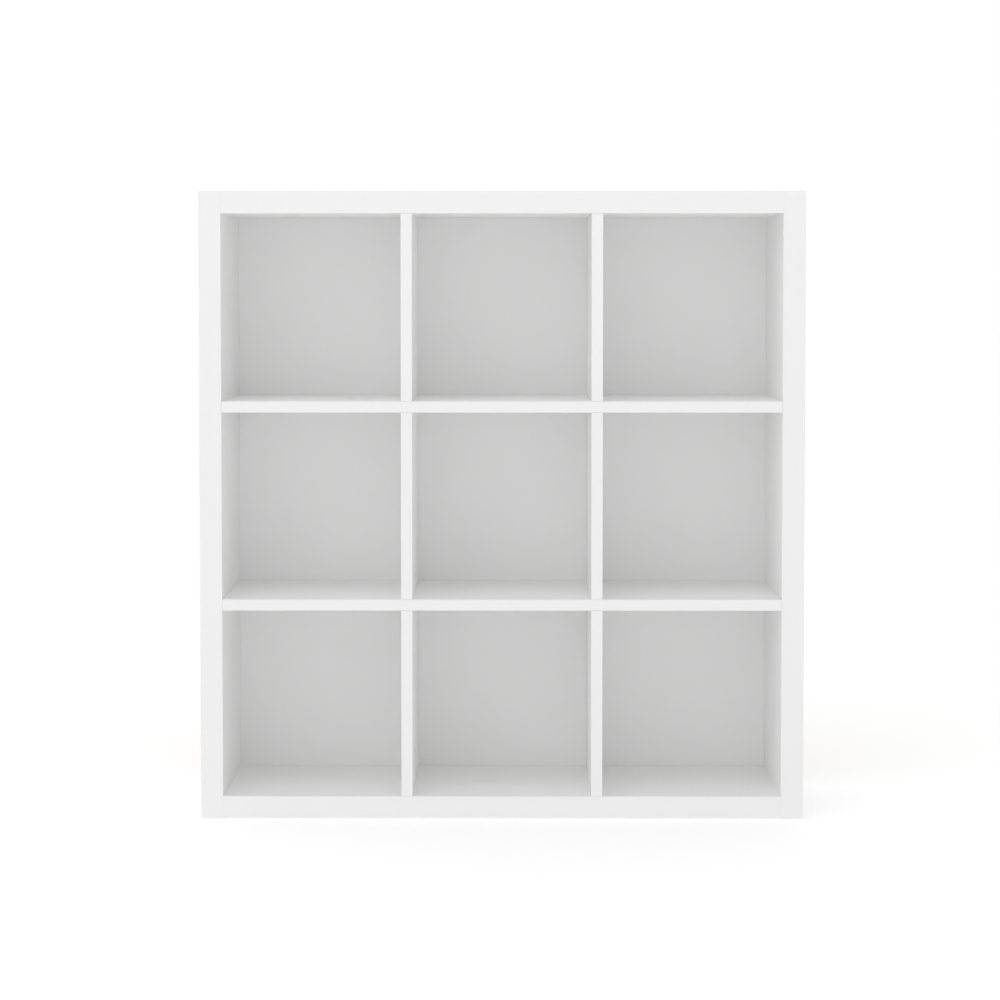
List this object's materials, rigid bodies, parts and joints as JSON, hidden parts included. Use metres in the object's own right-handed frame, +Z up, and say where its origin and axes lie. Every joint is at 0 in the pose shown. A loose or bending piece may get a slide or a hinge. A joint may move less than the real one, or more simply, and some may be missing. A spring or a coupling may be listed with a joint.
{
  "type": "cube storage unit",
  "caption": "White open-fronted cube storage unit: a thick outer frame around a square grid of cells, thin shelves and dividers, a closed back and low glides.",
  "frame": {"origin": "on the floor under the middle of the unit, at the soles of the glides", "axes": "+X to the unit's right as seen from the front, +Y to the rear, +Z up; the open front faces -Y"},
  "size_m": [0.978, 0.3, 1.019],
  "materials": {
    "white_board": "white melamine-faced particle board with matching edge band, satin",
    "back_sheet": "thin hardboard, white lacquered inside and raw brown on the rear face",
    "dowel_wood": "fluted beech dowel, bare wood",
    "screw_steel": "zinc-plated steel",
    "cap_plastic": "white moulded plastic, satin",
    "glide_plastic": "grey moulded plastic, matte"
  },
  "bodies": {
    "root": {"left_side_panel": "white_board", "right_side_panel": "white_board", "bottom_panel": "white_board", "top_panel": "white_board", "lower_shelf": "white_board", "upper_shelf": "white_board", "divider_bottom_left": "white_board", "divider_bottom_right": "white_board", "divider_middle_left": "white_board", "divider_middle_right": "white_board", "divider_top_left": "white_board", "divider_top_right": "white_board", "back_panel": "back_sheet", "shelf_dowel_lower_left_front": "dowel_wood", "shelf_dowel_lower_left_rear": "dowel_wood", "shelf_dowel_lower_right_front": "dowel_wood", "shelf_dowel_lower_right_rear": "dowel_wood", "shelf_dowel_upper_left_front": "dowel_wood", "shelf_dowel_upper_left_rear": "dowel_wood", "shelf_dowel_upper_right_front": "dowel_wood", "shelf_dowel_upper_right_rear": "dowel_wood", "crossing_dowel_lower_left_front": "dowel_wood", "crossing_dowel_lower_left_rear": "dowel_wood", "crossing_dowel_lower_right_front": "dowel_wood", "crossing_dowel_lower_right_rear": "dowel_wood", "crossing_dowel_upper_left_front": "dowel_wood", "crossing_dowel_upper_left_rear": "dowel_wood", "crossing_dowel_upper_right_front": "dowel_wood", "crossing_dowel_upper_right_rear": "dowel_wood", "divider_dowel_bottom_left_front": "dowel_wood", "divider_dowel_bottom_left_rear": "dowel_wood", "divider_dowel_bottom_right_front": "dowel_wood", "divider_dowel_bottom_right_rear": "dowel_wood", "divider_dowel_top_left_front": "dowel_wood", "divider_dowel_top_left_rear": "dowel_wood", "divider_dowel_top_right_front": "dowel_wood", "divider_dowel_top_right_rear": "dowel_wood", "frame_screw_bottom_left_front": "screw_steel", "frame_screw_bottom_left_rear": "screw_steel", "frame_screw_bottom_right_front": "screw_steel", "frame_screw_bottom_right_rear": "screw_steel", "frame_screw_top_left_front": "screw_steel", "frame_screw_top_left_rear": "screw_steel", "frame_screw_top_right_front": "screw_steel", "frame_screw_top_right_rear": "screw_steel", "screw_cap_bottom_left_front": "cap_plastic", "screw_cap_bottom_left_rear": "cap_plastic", "screw_cap_bottom_right_front": "cap_plastic", "screw_cap_bottom_right_rear": "cap_plastic", "screw_cap_top_left_front": "cap_plastic", "screw_cap_top_left_rear": "cap_plastic", "screw_cap_top_right_front": "cap_plastic", "screw_cap_top_right_rear": "cap_plastic", "glide_left_front": "glide_plastic", "glide_left_rear": "glide_plastic", "glide_right_front": "glide_plastic", "glide_right_rear": "glide_plastic"}
  },
  "joints": []
}
